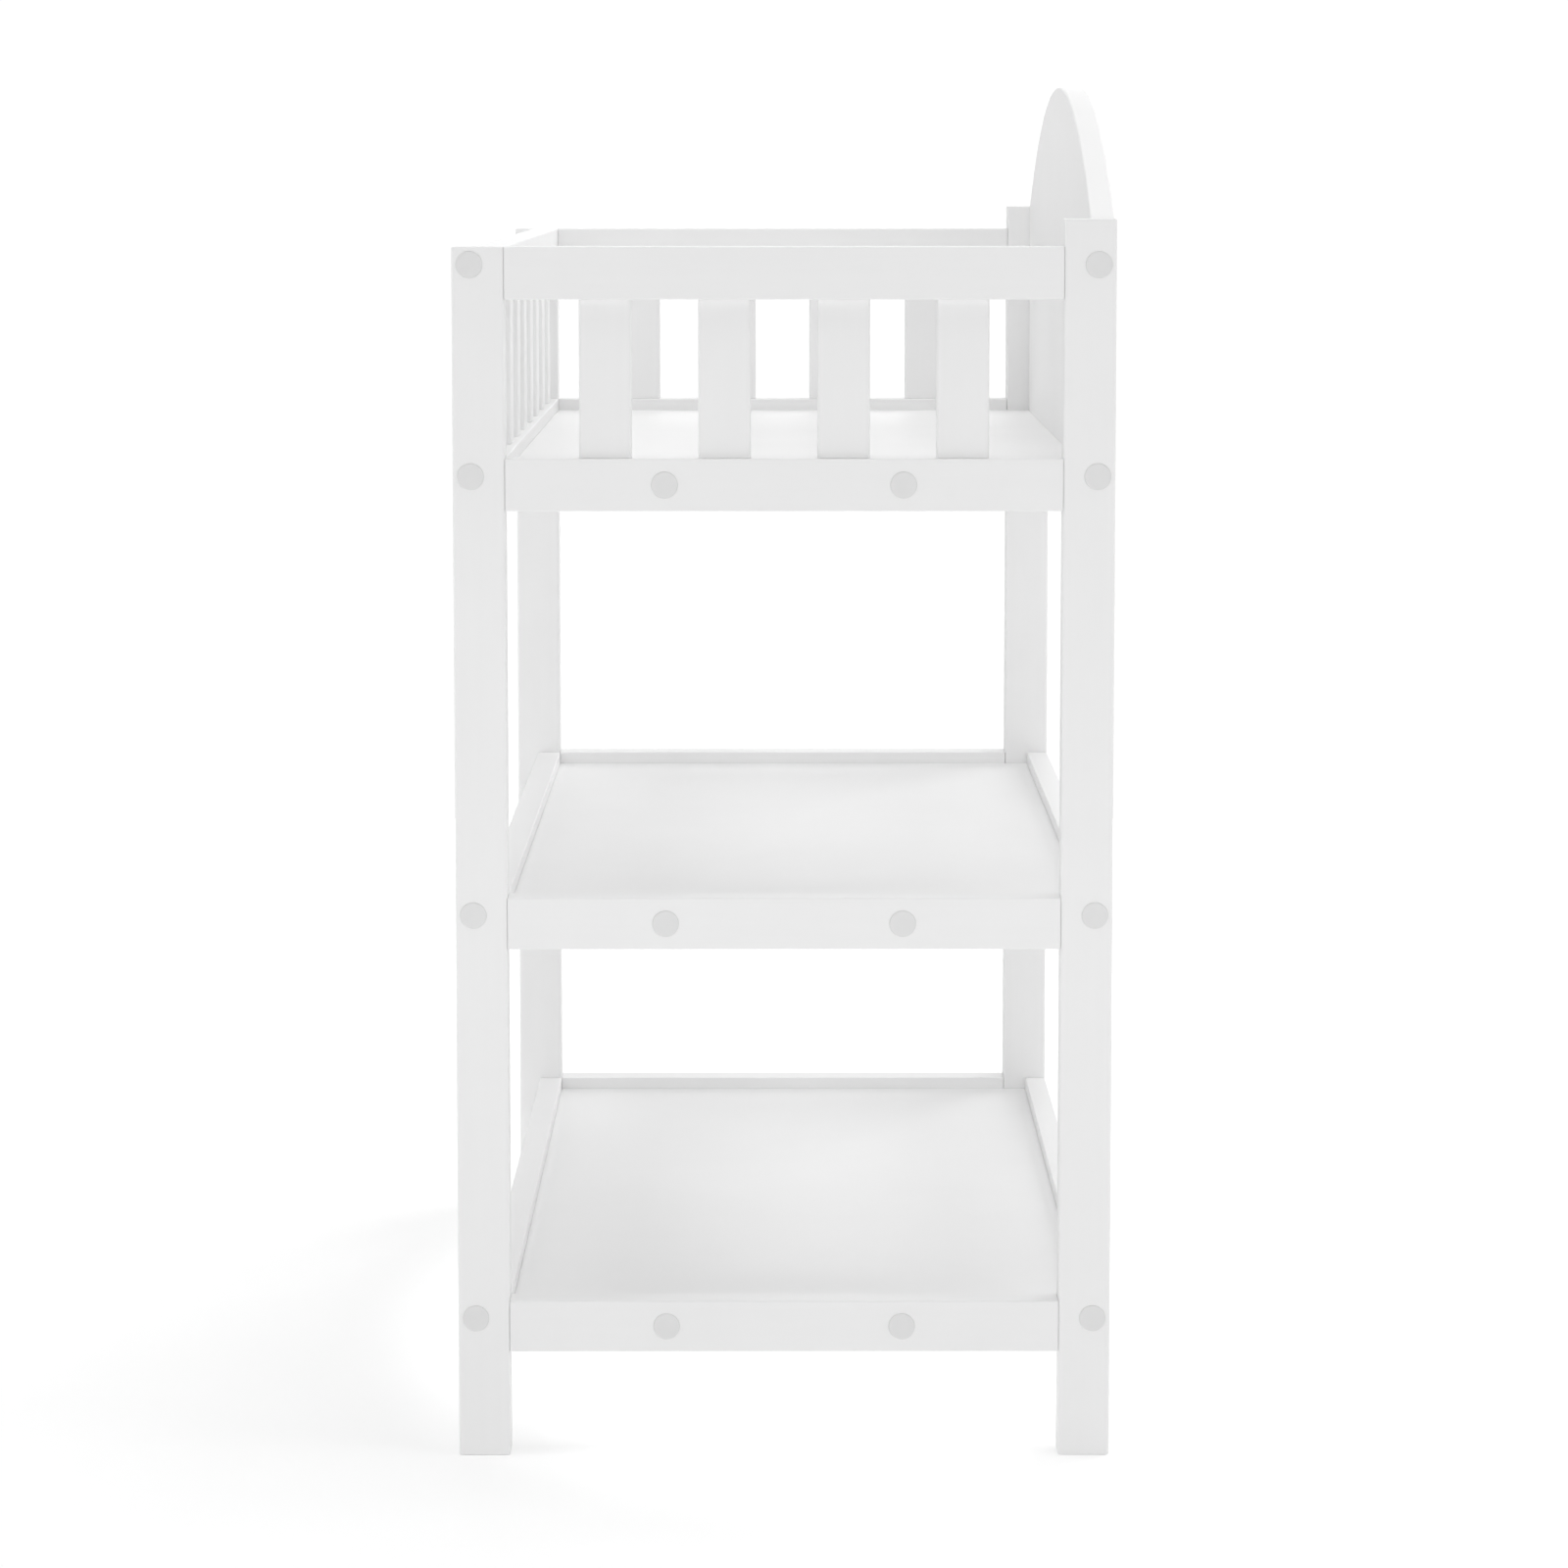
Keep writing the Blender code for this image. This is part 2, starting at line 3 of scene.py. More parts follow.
import bmesh
import bpy
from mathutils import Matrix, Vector


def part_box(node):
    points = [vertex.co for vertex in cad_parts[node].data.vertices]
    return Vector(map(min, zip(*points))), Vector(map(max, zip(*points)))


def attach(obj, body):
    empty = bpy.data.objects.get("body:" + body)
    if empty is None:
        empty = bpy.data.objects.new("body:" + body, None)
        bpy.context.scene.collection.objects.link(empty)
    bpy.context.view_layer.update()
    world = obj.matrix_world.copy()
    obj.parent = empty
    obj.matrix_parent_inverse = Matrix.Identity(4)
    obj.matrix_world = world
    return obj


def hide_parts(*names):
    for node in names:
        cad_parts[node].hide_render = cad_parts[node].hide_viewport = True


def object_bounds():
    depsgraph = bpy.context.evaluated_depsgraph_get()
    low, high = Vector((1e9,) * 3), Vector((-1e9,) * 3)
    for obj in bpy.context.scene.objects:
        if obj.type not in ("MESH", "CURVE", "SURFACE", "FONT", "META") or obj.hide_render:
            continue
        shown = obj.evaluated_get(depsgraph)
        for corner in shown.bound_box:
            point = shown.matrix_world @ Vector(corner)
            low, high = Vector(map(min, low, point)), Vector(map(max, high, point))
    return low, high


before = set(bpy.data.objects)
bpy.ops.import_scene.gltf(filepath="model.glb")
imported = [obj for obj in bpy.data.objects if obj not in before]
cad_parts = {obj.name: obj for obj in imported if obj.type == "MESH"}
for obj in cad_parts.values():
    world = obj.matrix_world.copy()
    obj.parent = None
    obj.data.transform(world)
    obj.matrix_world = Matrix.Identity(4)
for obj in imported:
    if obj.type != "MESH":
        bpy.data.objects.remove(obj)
cadLow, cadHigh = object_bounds()
body = "root"
levels = ("top", "changing", "middle", "bottom")
boardLevels = ("changing", "middle", "bottom")
ends = {"right": 1, "left": -1}
sides = {"front": -1, "back": 1}
print("frame loaded:", len(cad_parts), "CAD nodes")

# What the CAD pieces carry inside their neighbours, in metres. The shown pieces leave it out.
hidden = {
    "capProud": 0.0008,  # the post caps stand out of the posts by this
    "railPeg": 0.0253,  # cam bolts on the side rails' ends
    "longPeg": 0.0078,  # pins on the long rails' and the panel's ends
    "boardPeg": 0.0103,  # dowels on the boards' long edges
    "tenon": 0.0103,  # stub tenons on the slats' ends
}
closeUp = 0.00025  # painted joints close up to a hairline by this much

# How edges and faces are told apart when they are picked.
picking = {
    "sharp": 60.0,  # degrees that an edge turns by before it is rounded
    "along": 0.99,  # how true an edge runs to an axis
    "facing": 0.9,  # how true a face looks along an axis
    "near": 0.0001,  # metres apart that still count as level
}


# modelling helpers


def pickOnly(*pieces):
    bpy.ops.object.select_all(action="DESELECT")
    for piece in pieces:
        piece.select_set(True)
    bpy.context.view_layer.objects.active = pieces[-1]


def settle(piece):
    pickOnly(piece)
    bpy.ops.object.transform_apply(location=True, rotation=True, scale=True)


def addBar(name, low, high):
    bpy.ops.object.select_all(action="DESELECT")
    bpy.ops.mesh.primitive_cube_add(size=1, location=(low + high) / 2, scale=high - low)
    bar = bpy.context.object
    bar.name = name
    bar.data.name = name
    settle(bar)
    return bar


def selectEdges(piece, wanted):
    pickOnly(piece)
    bpy.ops.object.mode_set(mode="EDIT")
    bpy.ops.mesh.select_mode(type="EDGE")
    bpy.ops.mesh.select_all(action="DESELECT")
    shape = bmesh.from_edit_mesh(piece.data)
    for edge in shape.edges:
        edge.select_set(wanted(edge))
    bmesh.update_edit_mesh(piece.data)


def selectFaces(piece, wanted):
    pickOnly(piece)
    bpy.ops.object.mode_set(mode="EDIT")
    bpy.ops.mesh.select_mode(type="FACE")
    bpy.ops.mesh.select_all(action="DESELECT")
    shape = bmesh.from_edit_mesh(piece.data)
    for face in shape.faces:
        face.select_set(wanted(face))
    bmesh.update_edit_mesh(piece.data)


def roundEdges(piece, wanted, width, segments):
    selectEdges(piece, wanted)
    bpy.ops.mesh.bevel(offset=width, segments=segments, profile=0.5, affect="EDGES", clamp_overlap=True)
    bpy.ops.object.mode_set(mode="OBJECT")


def isSharp(edge):
    return edge.is_manifold and edge.calc_face_angle() > math.radians(picking["sharp"])


def runsAlong(edge, axis):
    way = (edge.verts[1].co - edge.verts[0].co).normalized()
    return abs(way[axis]) > picking["along"]


def easeBar(bar, axis, style):
    # long edges first, then the rims of both ends
    longOnes = lambda edge: isSharp(edge) and runsAlong(edge, axis)
    roundEdges(bar, longOnes, style["longEdge"], style["edgeSteps"])
    roundEdges(bar, isSharp, style["endEdge"], style["endSteps"])


def cutWith(piece, cutter):
    pickOnly(piece)
    bite = piece.modifiers.new("bite", "BOOLEAN")
    bite.operation = "DIFFERENCE"
    bite.solver = "EXACT"
    bite.object = cutter
    bpy.ops.object.modifier_apply(modifier=bite.name)
    bpy.data.objects.remove(cutter, do_unlink=True)


def addRound(name, centre, axis, radius, length, corners=64):
    turns = {"x": (0, math.pi / 2, 0), "y": (math.pi / 2, 0, 0), "z": (0, 0, 0)}
    bpy.ops.object.select_all(action="DESELECT")
    bpy.ops.mesh.primitive_cylinder_add(
        vertices=corners, radius=radius, depth=length, location=centre, rotation=turns[axis]
    )
    made = bpy.context.object
    made.name = name
    settle(made)
    return made


def cutRounds(piece, centres, axis, radius, depth):
    # blind round recesses, centred on the surface that they open
    rounds = [addRound("recessCutter", centre, axis, radius, 2 * depth) for centre in centres]
    if len(rounds) > 1:
        pickOnly(*rounds)
        bpy.ops.object.join()
    cutWith(piece, bpy.context.view_layer.objects.active)


def smooth(piece, angle=35.0):
    # edges that turn by less than the angle look round, and large faces stay flat
    pickOnly(piece)
    bpy.ops.object.shade_smooth_by_angle(angle=math.radians(angle))
    flat = piece.modifiers.new("flatFaces", "WEIGHTED_NORMAL")
    flat.keep_sharp = True
    flat.weight = 100
    bpy.ops.object.modifier_apply(modifier=flat.name)


def copyTo(template, name, place, half):
    # half: the piece is turned half round, to sit on the left end
    pickOnly(template)
    bpy.ops.object.duplicate(linked=False)
    made = bpy.context.object
    made.name = name
    made.data.name = name
    made.rotation_euler = (0, 0, math.pi if half else 0)
    made.location = place
    settle(made)
    return made


def paintWith(piece, *materials):
    piece.data.materials.clear()
    for material in materials:
        piece.data.materials.append(material)


def standFor(piece, node):
    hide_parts(node)
    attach(piece, body)


# finishes, made of noise on the pieces' own coordinates


def newMaterial(name):
    material = bpy.data.materials.new(name)
    material.use_nodes = True
    nodes, links = material.node_tree.nodes, material.node_tree.links
    return material, nodes, links, nodes["Principled BSDF"]


def addNoise(nodes, links, vector, scale, detail, roughness):
    noise = nodes.new("ShaderNodeTexNoise")
    noise.inputs["Scale"].default_value = scale
    noise.inputs["Detail"].default_value = detail
    noise.inputs["Roughness"].default_value = roughness
    links.new(vector, noise.inputs["Vector"])
    return noise.outputs["Fac"]


noiseSpan = (0.3, 0.7)  # most of a noise texture's values lie between these


def addRange(nodes, links, value, low, high, reach=1.0):
    # reach: how far the value spreads, beside one noise texture
    span = nodes.new("ShaderNodeMapRange")
    span.inputs["From Min"].default_value = noiseSpan[0] * reach
    span.inputs["From Max"].default_value = noiseSpan[1] * reach
    span.inputs["To Min"].default_value = low
    span.inputs["To Max"].default_value = high
    links.new(value, span.inputs["Value"])
    return span.outputs["Result"]


def addColours(nodes, links, value, style, shader):
    colours = nodes.new("ShaderNodeMix")
    colours.data_type = "RGBA"
    colours.inputs["A"].default_value = style["deep"]
    colours.inputs["B"].default_value = style["light"]
    links.new(value, colours.inputs["Factor"])
    links.new(colours.outputs["Result"], shader.inputs["Base Color"])


def addBump(nodes, links, height, distance, strength, before=None):
    bump = nodes.new("ShaderNodeBump")
    bump.inputs["Distance"].default_value = distance
    bump.inputs["Strength"].default_value = strength
    links.new(height, bump.inputs["Height"])
    if before is not None:
        links.new(before, bump.inputs["Normal"])
    return bump.outputs["Normal"]


def whitePaint(name, grainAxis, style):
    # satin paint: cloudy tone, a trace of grain along the piece, and the fine ripple of a sprayed coat
    material, nodes, links, shader = newMaterial(name)
    place = nodes.new("ShaderNodeTexCoord").outputs["Object"]
    stretch = nodes.new("ShaderNodeMapping")
    squeeze = [1.0, 1.0, 1.0]
    squeeze["xyz".index(grainAxis)] = style["grainStretch"]
    stretch.inputs["Scale"].default_value = squeeze
    links.new(place, stretch.inputs["Vector"])
    grain = addNoise(nodes, links, stretch.outputs["Vector"], style["grainScale"], *style["grainDetail"])
    cloud = addNoise(nodes, links, place, style["cloudScale"], *style["cloudDetail"])
    ripple = addNoise(nodes, links, place, style["rippleScale"], *style["rippleDetail"])
    blend = nodes.new("ShaderNodeMath")
    blend.operation = "MULTIPLY_ADD"
    blend.inputs[1].default_value = style["grainShare"]
    links.new(grain, blend.inputs[0])
    links.new(cloud, blend.inputs[2])
    tone = addRange(nodes, links, blend.outputs["Value"], 0.0, 1.0, 1 + style["grainShare"])
    addColours(nodes, links, tone, style, shader)
    links.new(addRange(nodes, links, cloud, *style["roughness"]), shader.inputs["Roughness"])
    grainBump = addBump(nodes, links, grain, style["grainDepth"], style["bump"])
    coatBump = addBump(nodes, links, ripple, style["rippleDepth"], style["bump"], grainBump)
    links.new(coatBump, shader.inputs["Normal"])
    shader.inputs["Specular IOR Level"].default_value = style["specular"]
    return material


def capPlastic(name, style):
    material, nodes, links, shader = newMaterial(name)
    place = nodes.new("ShaderNodeTexCoord").outputs["Object"]
    cloud = addNoise(nodes, links, place, style["cloudScale"], *style["cloudDetail"])
    grit = addNoise(nodes, links, place, style["gritScale"], *style["gritDetail"])
    addColours(nodes, links, cloud, style, shader)
    links.new(addRange(nodes, links, grit, *style["roughness"]), shader.inputs["Roughness"])
    links.new(addBump(nodes, links, grit, style["gritDepth"], style["bump"]), shader.inputs["Normal"])
    return material


def zincPlate(name, style):
    material, nodes, links, shader = newMaterial(name)
    place = nodes.new("ShaderNodeTexCoord").outputs["Object"]
    cloud = addNoise(nodes, links, place, style["cloudScale"], *style["cloudDetail"])
    addColours(nodes, links, cloud, style, shader)
    links.new(addRange(nodes, links, cloud, *style["roughness"]), shader.inputs["Roughness"])
    links.new(addBump(nodes, links, cloud, style["cloudDepth"], style["bump"]), shader.inputs["Normal"])
    shader.inputs["Metallic"].default_value = 1.0
    return material


# each Detail holds a noise texture's detail and roughness
paintStyle = {
    "deep": (0.88, 0.88, 0.88, 1),
    "light": (0.908, 0.908, 0.908, 1),
    "roughness": (0.46, 0.56),
    "grainScale": 160.0,
    "grainDetail": (5.0, 0.6),
    "grainStretch": 0.05,
    "grainShare": 0.35,
    "grainDepth": 0.000008,
    "cloudScale": 9.0,
    "cloudDetail": (3.0, 0.5),
    "rippleScale": 700.0,
    "rippleDetail": (2.0, 0.5),
    "rippleDepth": 0.000006,
    "bump": 0.3,
    "specular": 0.4,
}
capStyle = {
    "deep": (0.748, 0.748, 0.748, 1),
    "light": (0.786, 0.786, 0.786, 1),
    "roughness": (0.38, 0.5),
    "cloudScale": 60.0,
    "cloudDetail": (3.0, 0.5),
    "gritScale": 1800.0,
    "gritDetail": (4.0, 0.5),
    "gritDepth": 0.00003,
    "bump": 0.4,
}
zincStyle = {
    "deep": (0.42, 0.43, 0.45, 1),
    "light": (0.62, 0.63, 0.66, 1),
    "roughness": (0.28, 0.48),
    "cloudScale": 500.0,
    "cloudDetail": (6.0, 0.7),
    "cloudDepth": 0.00004,
    "bump": 0.3,
}
boardStyle = dict(paintStyle, grainShare=0.0, grainDepth=0.000004, cloudScale=6.0)
uprightPaint = whitePaint("uprightPaint", "z", paintStyle)
acrossPaint = whitePaint("acrossPaint", "y", paintStyle)
alongPaint = whitePaint("alongPaint", "x", paintStyle)
boardPaint = whitePaint("boardPaint", "x", boardStyle)
capGrey = capPlastic("capGrey", capStyle)
zinc = zincPlate("zinc", zincStyle)
print("finishes made")


# cover caps

cap = {
    "width": 0.0194,
    "recess": 0.001,  # depth of the round seat that it sits in
    "play": 0.0003,  # from its back to the seat's floor
    "ringGap": 0.00005,  # all round it, in the seat
    "edge": 0.00105,  # straight part of its side
    # the low crown's rings: share of the width, rise over the ring before
    "crown": ((0.975, 0.00022), (0.93, 0.00011), (0.75, 0.00008), (0.4, 0.00004)),
    "smoothBelow": 50.0,
    "inset": 0.013,  # from a post's outer side and from a rail's top to its middle
}


def makeCapShape(name):
    # lies along +x, with its back at x = 0
    radius = cap["width"] / 2
    made = addRound(name, (cap["edge"] / 2, 0, 0), "x", radius, cap["edge"])
    selectFaces(made, lambda face: face.normal.x > picking["facing"])
    share = 1.0
    for wanted, rise in cap["crown"]:
        bpy.ops.mesh.extrude_region_move(TRANSFORM_OT_translate={"value": (rise, 0, 0)})
        step = wanted / share
        bpy.ops.transform.resize(value=(1, step, step), center_override=(0, 0, 0))
        share = wanted
    bpy.ops.object.mode_set(mode="OBJECT")
    return made


def capPlace(end, y, z):
    return Vector((end * (cadHigh.x - hidden["capProud"] - cap["recess"] + cap["play"]), y, z))


def seatPlaces(end, spots):
    return [Vector((end * (cadHigh.x - hidden["capProud"]), y, z)) for y, z in spots]


def postCapSpots(side):
    # (y, z) of the caps down one post, one at each level
    spots = []
    for level in levels:
        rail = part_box(f"side_rail_{level}_right")
        spots.append((side * (cadHigh.y - cap["inset"]), rail[1].z - cap["inset"]))
    return spots


def cutSeats(piece, end, spots):
    cutRounds(piece, seatPlaces(end, spots), "x", cap["width"] / 2 + cap["ringGap"], cap["recess"])


capShape = makeCapShape("capShape")
smooth(capShape, cap["smoothBelow"])
paintWith(capShape, capGrey)


# board bolts, each with its cap

boltShape = {"headWidth": 0.013, "headLength": 0.004, "shankWidth": 0.007, "shankLength": 0.0443}


def makeBoltShape(name):
    # the head and then the shank grow out of the cap's back
    made = copyTo(capShape, name, Vector((0, 0, 0)), False)
    selectFaces(made, lambda face: face.normal.x < -picking["facing"])
    share = cap["width"]
    for width, length in (
        (boltShape["headWidth"], boltShape["headLength"]),
        (boltShape["shankWidth"], boltShape["shankLength"]),
    ):
        step = width / share
        bpy.ops.mesh.extrude_region_move(TRANSFORM_OT_translate={"value": (0, 0, 0)})
        bpy.ops.transform.resize(value=(1, step, step), center_override=(0, 0, 0))
        bpy.ops.mesh.extrude_region_move(TRANSFORM_OT_translate={"value": (-length, 0, 0)})
        share = width
    bpy.ops.object.mode_set(mode="OBJECT")
    paintWith(made, capGrey, zinc)
    for face in made.data.polygons:
        face.material_index = 1 if face.center.x < -picking["near"] else 0
    return made


boltTemplate = makeBoltShape("boltShape")
smooth(boltTemplate, cap["smoothBelow"])


def boardBoltSpots(level):
    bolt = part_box(f"board_bolt_{level}_back_right")
    middle = (bolt[0] + bolt[1]) / 2
    return [(side * middle.y, middle.z) for side in sides.values()]


def makeBoardBolts():
    for level in boardLevels:
        for endName, end in ends.items():
            for sideName, (y, z) in zip(sides, boardBoltSpots(level)):
                node = f"board_bolt_{level}_{sideName}_{endName}"
                piece = copyTo(boltTemplate, node + "_cap", capPlace(end, y, z), end < 0)
                standFor(piece, node)


def makePostCaps():
    for endName, end in ends.items():
        for sideName, side in sides.items():
            for level, (y, z) in zip(levels, postCapSpots(side)):
                name = f"post_cap_{sideName}_{level}_{endName}"
                piece = copyTo(capShape, name, capPlace(end, y, z), end < 0)
                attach(piece, body)


makeBoardBolts()
makePostCaps()
print("caps and bolts made")


# end frames: posts, side rails and side slats

postStyle = {"longEdge": 0.002, "edgeSteps": 5, "endEdge": 0.0014, "endSteps": 2}
railStyle = {"longEdge": 0.001, "edgeSteps": 3, "endEdge": 0.0004, "endSteps": 2}
slatStyle = {"longEdge": 0.002, "edgeSteps": 4, "endEdge": 0.0003, "endSteps": 2}
slatCount = {"side": 4, "front": 8}


def shown(node, trim):
    # a node's box less what it carries inside its neighbours, as trim along x, y and z at each end
    low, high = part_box(node)
    trim = Vector(amount - closeUp if amount is not None else 0 for amount in trim)
    return low + trim, high - trim


def makePosts():
    for endName, end in ends.items():
        for sideName, side in sides.items():
            node = f"post_{sideName}_{endName}"
            low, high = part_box(node)
            if end > 0:
                high.x -= hidden["capProud"]
            else:
                low.x += hidden["capProud"]
            post = addBar(node + "_wood", low, high)
            easeBar(post, 2, postStyle)
            cutSeats(post, end, postCapSpots(side))
            smooth(post)
            paintWith(post, uprightPaint)
            standFor(post, node)


def makeSideRails():
    for endName, end in ends.items():
        for level in levels:
            node = f"side_rail_{level}_{endName}"
            rail = addBar(node + "_wood", *shown(node, (None, hidden["railPeg"], None)))
            easeBar(rail, 1, railStyle)
            if level in boardLevels:
                cutSeats(rail, end, boardBoltSpots(level))
            smooth(rail)
            paintWith(rail, acrossPaint)
            standFor(rail, node)


def makeSlats(names):
    for node in names:
        slat = addBar(node + "_wood", *shown(node, (None, None, hidden["tenon"])))
        easeBar(slat, 2, slatStyle)
        smooth(slat)
        paintWith(slat, uprightPaint)
        standFor(slat, node)


makePosts()
makeSideRails()
sideNumbers = range(1, slatCount["side"] + 1)
makeSlats([f"side_slat_{number}_{endName}" for number in sideNumbers for endName in ends])
print("end frames made")


# front and back: long rails, front slats, arched panel and its cams


def makeLongRails():
    names = [f"front_rail_{level}" for level in levels] + ["back_rail_middle", "back_rail_bottom"]
    for node in names:
        rail = addBar(node + "_wood", *shown(node, (hidden["longPeg"], None, None)))
        easeBar(rail, 0, railStyle)
        smooth(rail)
        paintWith(rail, alongPaint)
        standFor(rail, node)


panelStyle = {
    "strips": 96,  # upright strips that the arch is made of
    "edge": 0.0016,
    "edgeSteps": 4,
    "camSeat": 0.0075,  # radius of the bored seats in its back
    "camSeatDepth": 0.0126,
    "smoothBelow": 30.0,
}


def archHeight(x, half, spring, rise):
    # one round arc from spring to spring
    radius = (half * half + rise * rise) / (2 * rise)
    return spring + rise - radius + math.sqrt(radius * radius - x * x)


def camSpot(height, endName):
    low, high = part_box(f"panel_cam_{height}_{endName}")
    return (low + high) / 2


def makeBackPanel():
    node = "back_panel"
    low, high = shown(node, (hidden["longPeg"], None, None))
    crown = high.z
    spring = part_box("post_back_right")[1].z
    panel = addBar(node + "_wood", low, Vector((high.x, high.y, spring)))
    selectEdges(panel, lambda edge: runsAlong(edge, 0))
    bpy.ops.mesh.subdivide(number_cuts=panelStyle["strips"] - 1)
    shape = bmesh.from_edit_mesh(panel.data)
    for vert in shape.verts:
        if abs(vert.co.z - spring) < picking["near"]:
            vert.co.z = archHeight(vert.co.x, high.x, spring, crown - spring)
    bmesh.update_edit_mesh(panel.data)
    bpy.ops.object.mode_set(mode="OBJECT")
    roundEdges(panel, isSharp, panelStyle["edge"], panelStyle["edgeSteps"])
    spots = [camSpot(height, endName) for endName in ends for height in ("lower", "upper")]
    seats = [Vector((spot.x, high.y, spot.z)) for spot in spots]
    cutRounds(panel, seats, "y", panelStyle["camSeat"], panelStyle["camSeatDepth"])
    smooth(panel, panelStyle["smoothBelow"])
    paintWith(panel, boardPaint)
    standFor(panel, node)


camStyle = {
    "rim": 0.0005,
    "rimSteps": 2,
    "crossLength": 0.0092,
    "crossWidth": 0.0022,
    "crossDepth": 0.0024,
    "smoothBelow": 40.0,
}


def makePanelCams():
    for endName in ends:
        for height in ("lower", "upper"):
            node = f"panel_cam_{height}_{endName}"
            low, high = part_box(node)
            middle = camSpot(height, endName)
            cam = addRound(node + "_metal", middle, "y", (high.x - low.x) / 2, high.y - low.y)
            roundEdges(cam, isSharp, camStyle["rim"], camStyle["rimSteps"])
            cross = (camStyle["crossLength"], 2 * camStyle["crossDepth"], camStyle["crossWidth"])
            arm = Vector(cross) / 2
            turnedArm = Vector((arm.z, arm.y, arm.x))
            face = Vector((middle.x, high.y, middle.z))
            for reach in (arm, turnedArm):
                cutWith(cam, addBar("crossCutter", face - reach, face + reach))
            smooth(cam, camStyle["smoothBelow"])
            paintWith(cam, zinc)
            standFor(cam, node)


makeLongRails()
makeSlats([f"front_slat_{number}" for number in range(1, slatCount["front"] + 1)])
makeBackPanel()
makePanelCams()
print("front and back made")


# boards

boardEdges = {"longEdge": 0.0003, "edgeSteps": 2, "endEdge": 0.0003, "endSteps": 2}


def makeBoards():
    for level in boardLevels:
        node = f"board_{level}"
        board = addBar(node + "_wood", *shown(node, (0, hidden["boardPeg"], None)))
        easeBar(board, 0, boardEdges)
        smooth(board)
        paintWith(board, boardPaint)
        standFor(board, node)


makeBoards()
for template in (capShape, boltTemplate):
    bpy.data.objects.remove(template, do_unlink=True)
for name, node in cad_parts.items():
    if name.startswith("panel_bolt"):
        paintWith(node, zinc)
print("boards made")


# floor, light and camera

studio = {
    "floorRadius": 3.0,
    "floorTone": 0.9,
    "floorRoughness": 0.9,
    "paintedLightRadii": (0.44, 0.24),  # the oval of painted light under the table, half of its length and of its depth
    "paintedLightFade": (0.8, 1.5),  # in ovals, where that painted light starts and stops fading
    # painted light: the floor glows brighter under the table, which washes out the table's shadow there
    "paintedLightUnder": 0.42,
    "glowOpen": 0.13,
    "rimFade": (0.9, 2.4),  # metres from the middle
    "glowRim": 0.32,  # brings the floor's rim up to the white behind it
    "glowShown": 0.05,  # lifts the shade on the floor without lighting the table
    "skyShown": 1.05,  # how bright the sky looks behind the table
    "skyFill": 0.37,  # how strongly it lights the table
    "aim": (0.0, 0.0, 0.5),  # every light looks at the table's middle
}
softLights = (
    # name, place, size, watts
    ("ceiling", (0.0, 0.0, 4.2), 3.5, 68.0),
    ("window", (0.9, 6.3, 3.6), 5.4, 106.0),
    ("farWindow", (-4.7, 5.8, 3.9), 4.5, 162.0),
    ("farFill", (-4.4, 0.3, 1.5), 3.0, 35.0),
    ("leftFill", (0.5, -3.5, 1.6), 3.0, 33.0),
    ("frontFill", (12.0, 0.0, 1.5), 6.0, 290.0),
)


def addSpread(nodes, links, vector, scale, radii, values):
    # a value that changes with the distance from the middle of the floor
    stretch = nodes.new("ShaderNodeMapping")
    stretch.inputs["Scale"].default_value = scale
    links.new(vector, stretch.inputs["Vector"])
    distance = nodes.new("ShaderNodeVectorMath")
    distance.operation = "LENGTH"
    links.new(stretch.outputs["Vector"], distance.inputs[0])
    spread = nodes.new("ShaderNodeMapRange")
    spread.interpolation_type = "SMOOTHSTEP"
    for socket, value in zip(("From Min", "From Max", "To Min", "To Max"), (*radii, *values)):
        spread.inputs[socket].default_value = value
    links.new(distance.outputs["Value"], spread.inputs["Value"])
    return spread.outputs["Result"]


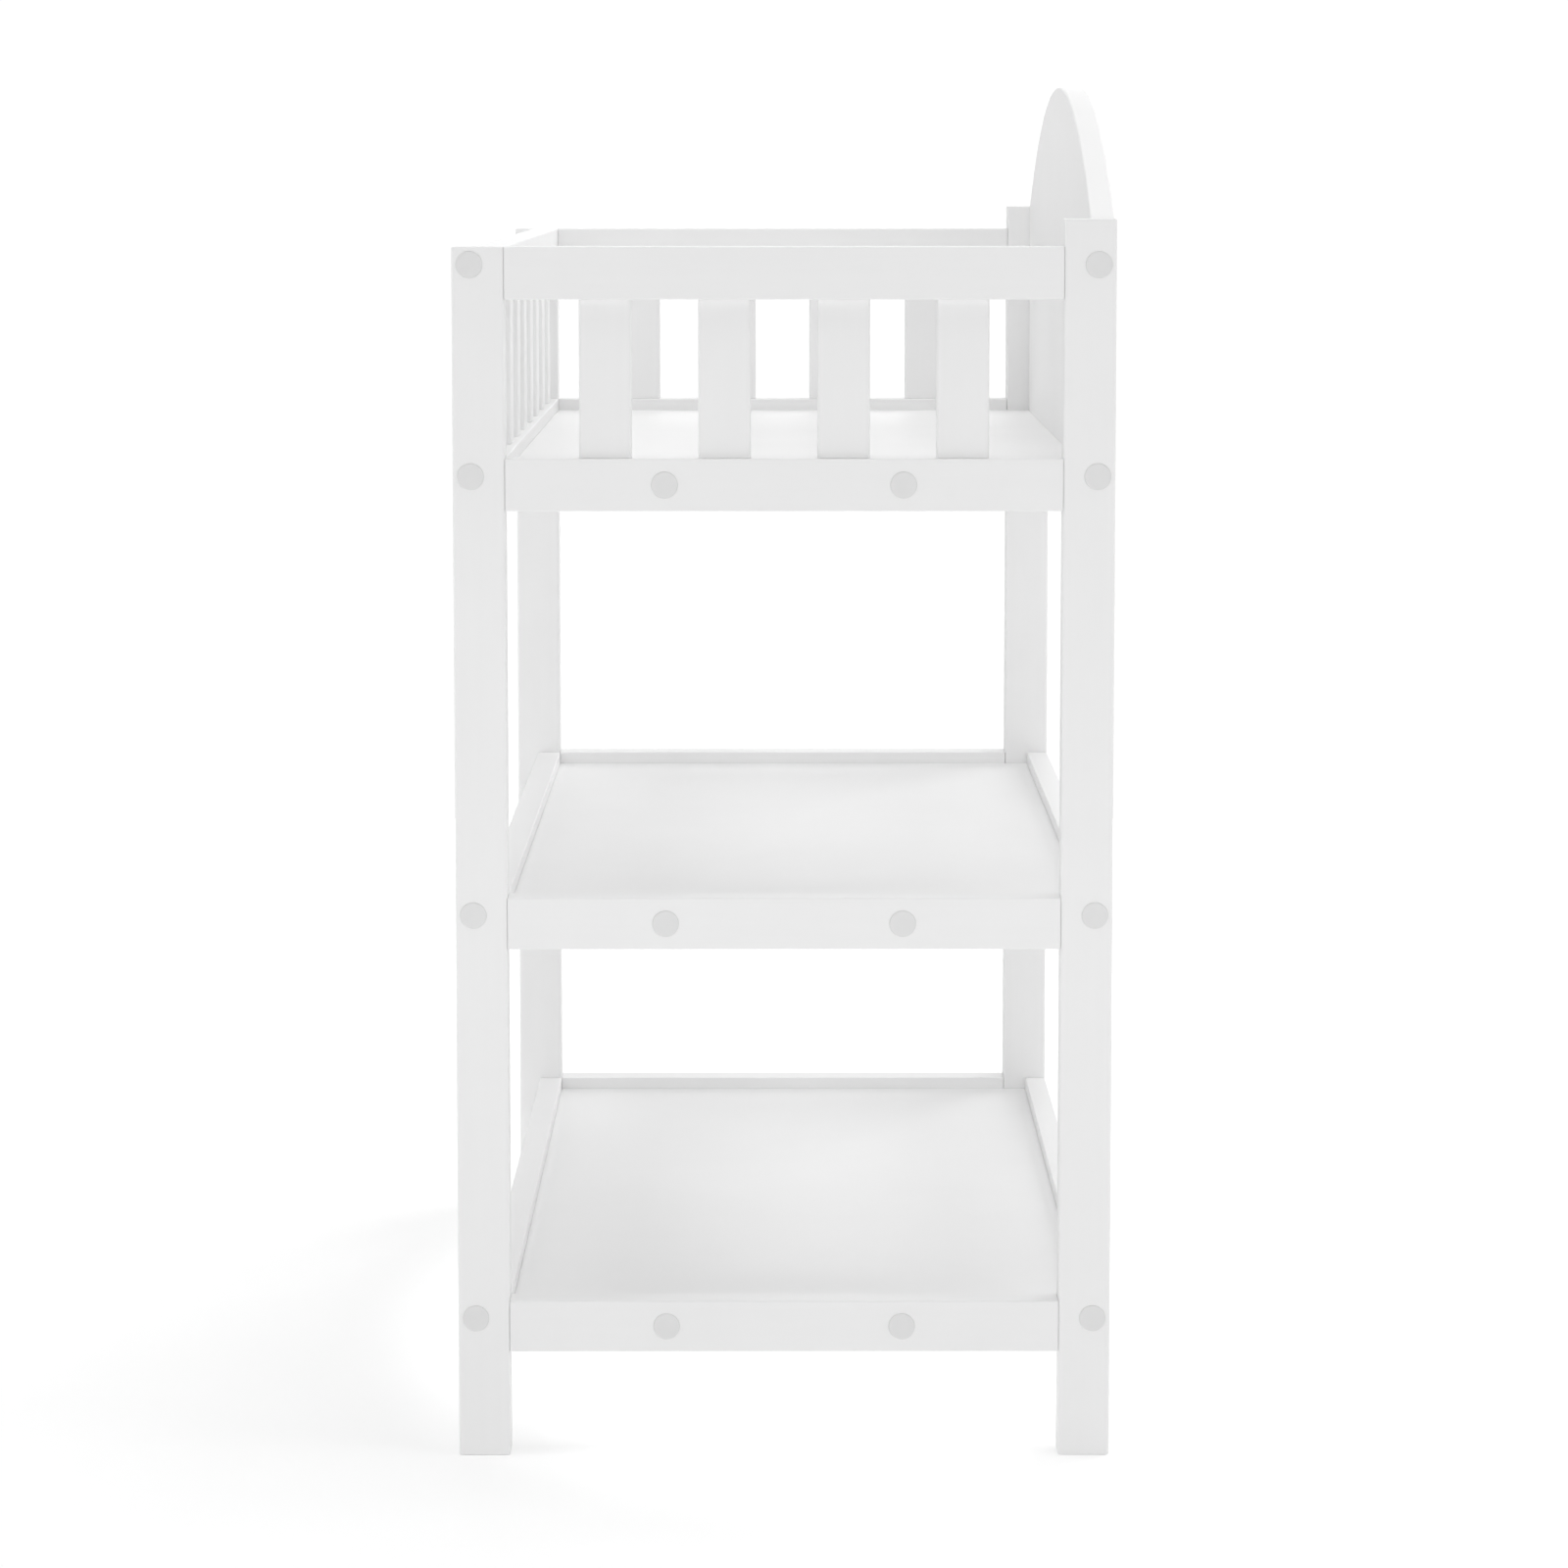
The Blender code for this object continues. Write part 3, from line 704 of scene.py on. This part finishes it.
def floorPaper():
    material, nodes, links, shader = newMaterial("floorPaper")
    tone = studio["floorTone"]
    shader.inputs["Base Color"].default_value = (tone, tone, tone, 1)
    shader.inputs["Roughness"].default_value = studio["floorRoughness"]
    shader.inputs["Emission Color"].default_value = (1, 1, 1, 1)
    place = nodes.new("ShaderNodeTexCoord").outputs["Object"]
    oval = [1 / radius for radius in studio["paintedLightRadii"]] + [1]
    glows = (studio["paintedLightUnder"], studio["glowOpen"])
    # painted light under the table, which washes out the table's shadow on the floor
    under = addSpread(nodes, links, place, oval, studio["paintedLightFade"], glows)
    rim = addSpread(nodes, links, place, (1, 1, 1), studio["rimFade"], (0, studio["glowRim"]))
    glow = nodes.new("ShaderNodeMath")
    links.new(under, glow.inputs[0])
    links.new(rim, glow.inputs[1])
    lifted = nodes.new("ShaderNodeMath")
    lifted.operation = "MULTIPLY_ADD"
    lifted.inputs[1].default_value = studio["glowShown"]
    links.new(nodes.new("ShaderNodeLightPath").outputs["Is Camera Ray"], lifted.inputs[0])
    links.new(glow.outputs["Value"], lifted.inputs[2])
    links.new(lifted.outputs["Value"], shader.inputs["Emission Strength"])
    return material


def makeFloor():
    bpy.ops.object.select_all(action="DESELECT")
    bpy.ops.mesh.primitive_circle_add(vertices=96, radius=studio["floorRadius"], fill_type="NGON")
    floor = bpy.context.object
    floor.name = "studioFloor"
    paintWith(floor, floorPaper())


def makeSky():
    sky = bpy.data.worlds.new("studioSky")
    sky.use_nodes = True
    nodes, links = sky.node_tree.nodes, sky.node_tree.links
    back = nodes["Background"]
    back.inputs["Color"].default_value = (1, 1, 1, 1)
    strength = nodes.new("ShaderNodeMix")
    strength.inputs["A"].default_value = studio["skyFill"]
    strength.inputs["B"].default_value = studio["skyShown"]
    links.new(nodes.new("ShaderNodeLightPath").outputs["Is Camera Ray"], strength.inputs["Factor"])
    links.new(strength.outputs["Result"], back.inputs["Strength"])
    bpy.context.scene.world = sky


def makeLight(name, place, size, watts):
    lamp = bpy.data.lights.new(name, "AREA")
    lamp.size = size
    lamp.energy = watts
    holder = bpy.data.objects.new(name, lamp)
    bpy.context.scene.collection.objects.link(holder)
    holder.location = place
    way = Vector(studio["aim"]) - Vector(place)
    holder.rotation_euler = way.to_track_quat("-Z", "Y").to_euler()


view = {
    "place": (3.8829, -0.0058, 0.9553),
    "pitch": 5.838,  # degrees down from level
    "yaw": 0.095,  # degrees towards the back
    "lens": 109.45,
    "sensor": 36.0,
    "shiftDown": 0.09,
    "reach": (0.1, 200.0),  # nearest and furthest that it sees
}


def makeCamera():
    lens = bpy.data.cameras.new("camera")
    lens.lens = view["lens"]
    lens.sensor_width = view["sensor"]
    lens.shift_y = -view["shiftDown"]
    lens.clip_start, lens.clip_end = view["reach"]
    camera = bpy.data.objects.new("camera", lens)
    bpy.context.scene.collection.objects.link(camera)
    camera.location = view["place"]
    camera.rotation_euler = (math.radians(90 - view["pitch"]), 0, math.radians(90 - view["yaw"]))
    bpy.context.scene.camera = camera


makeFloor()
makeSky()
for light in softLights:
    makeLight(*light)
makeCamera()
bpy.context.scene.view_settings.view_transform = "Standard"
print("studio made")
